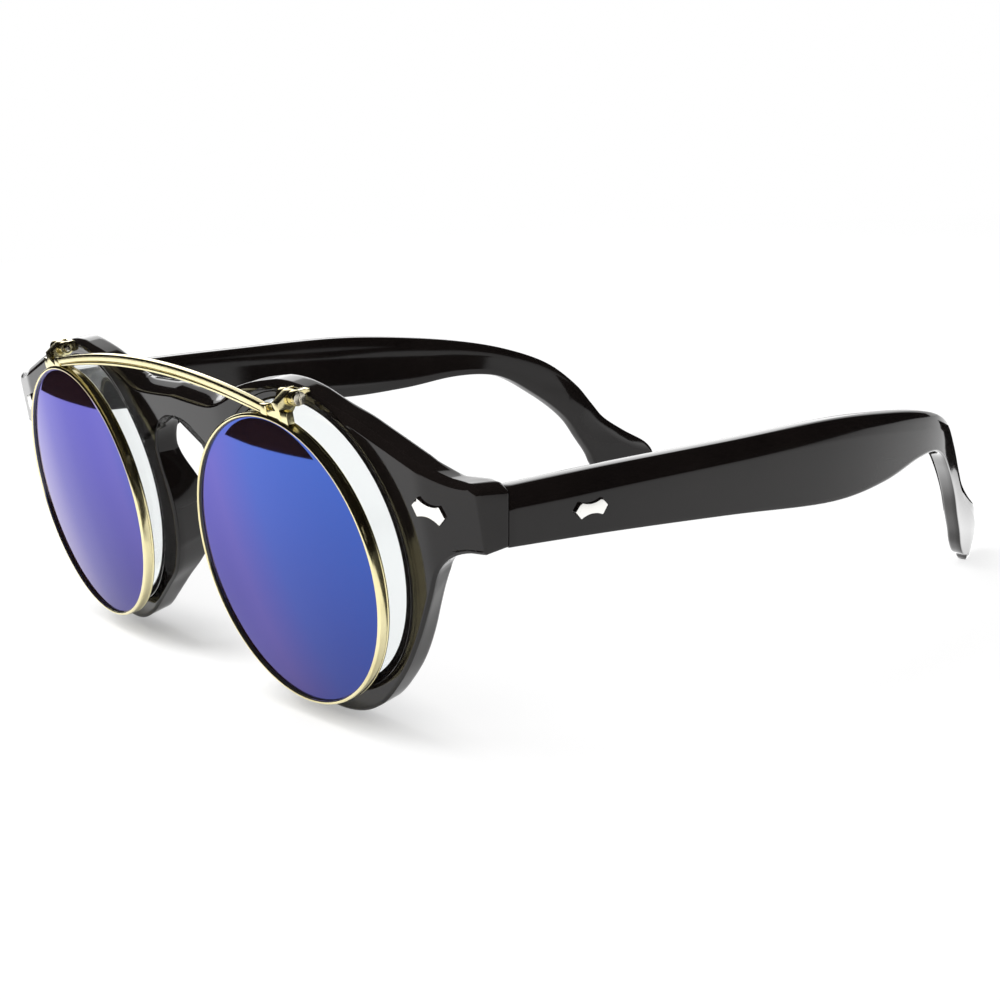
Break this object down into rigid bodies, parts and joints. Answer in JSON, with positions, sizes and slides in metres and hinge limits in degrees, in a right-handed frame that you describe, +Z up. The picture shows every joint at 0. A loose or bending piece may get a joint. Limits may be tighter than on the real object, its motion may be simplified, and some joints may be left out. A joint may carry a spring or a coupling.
{
  "type": "flip-up sunglasses",
  "caption": "Round sunglasses with folding temples and a wire clip of mirrored lenses that flips up off the clear lenses behind it.",
  "frame": {"origin": "middle of the bounding box on the surface the glasses rest on", "axes": "+Z up, +X to the wearer's left, +Y from the lenses towards the temple tips"},
  "size_m": [0.1484, 0.1454, 0.0522],
  "materials": {
    "black_acetate": "polished black acetate",
    "clear_lens": "clear, polished",
    "tinted_lens": "blue to violet mirror coating",
    "pale_gold": "polished pale gold plating",
    "hinge_metal": "polished nickel silver",
    "plaque_metal": "polished silver rivets"
  },
  "bodies": {
    "front": {"front_frame": "black_acetate", "clear_lens_left": "clear_lens", "clear_lens_right": "clear_lens", "front_plaque_left": "plaque_metal", "front_plaque_right": "plaque_metal", "flip_bracket_left": "pale_gold", "flip_bracket_right": "pale_gold", "flip_pin_left": "hinge_metal", "flip_pin_right": "hinge_metal", "front_hinge_leaf_left": "hinge_metal", "front_hinge_leaf_right": "hinge_metal", "temple_screw_left": "hinge_metal", "temple_screw_right": "hinge_metal"},
    "flip_clip": {"clip_rim_left": "pale_gold", "clip_rim_right": "pale_gold", "tinted_lens_left": "tinted_lens", "tinted_lens_right": "tinted_lens", "clip_tab_left": "pale_gold", "clip_tab_right": "pale_gold", "clip_bridge": "pale_gold"},
    "temple_arm_left": {"temple_left": "black_acetate", "temple_plaque_left": "plaque_metal", "temple_hinge_leaf_left": "hinge_metal"},
    "temple_arm_right": {"temple_right": "black_acetate", "temple_plaque_right": "plaque_metal", "temple_hinge_leaf_right": "hinge_metal"}
  },
  "joints": [
    {"name": "flip_up", "type": "hinge", "parent": "front", "child": "flip_clip", "pos_m": [0, -0.0694, 0.05008], "axis": [-1, 0, 0], "range_deg": [0, 95]},
    {"name": "fold_left", "type": "hinge", "parent": "front", "child": "temple_arm_left", "pos_m": [0.0682, -0.05854, 0.03615], "axis": [0, 0.0646, 0.9979], "range_deg": [0, 80]},
    {"name": "fold_right", "type": "hinge", "parent": "front", "child": "temple_arm_right", "pos_m": [-0.0682, -0.05854, 0.03615], "axis": [0, -0.0646, -0.9979], "range_deg": [0, 74]}
  ]
}
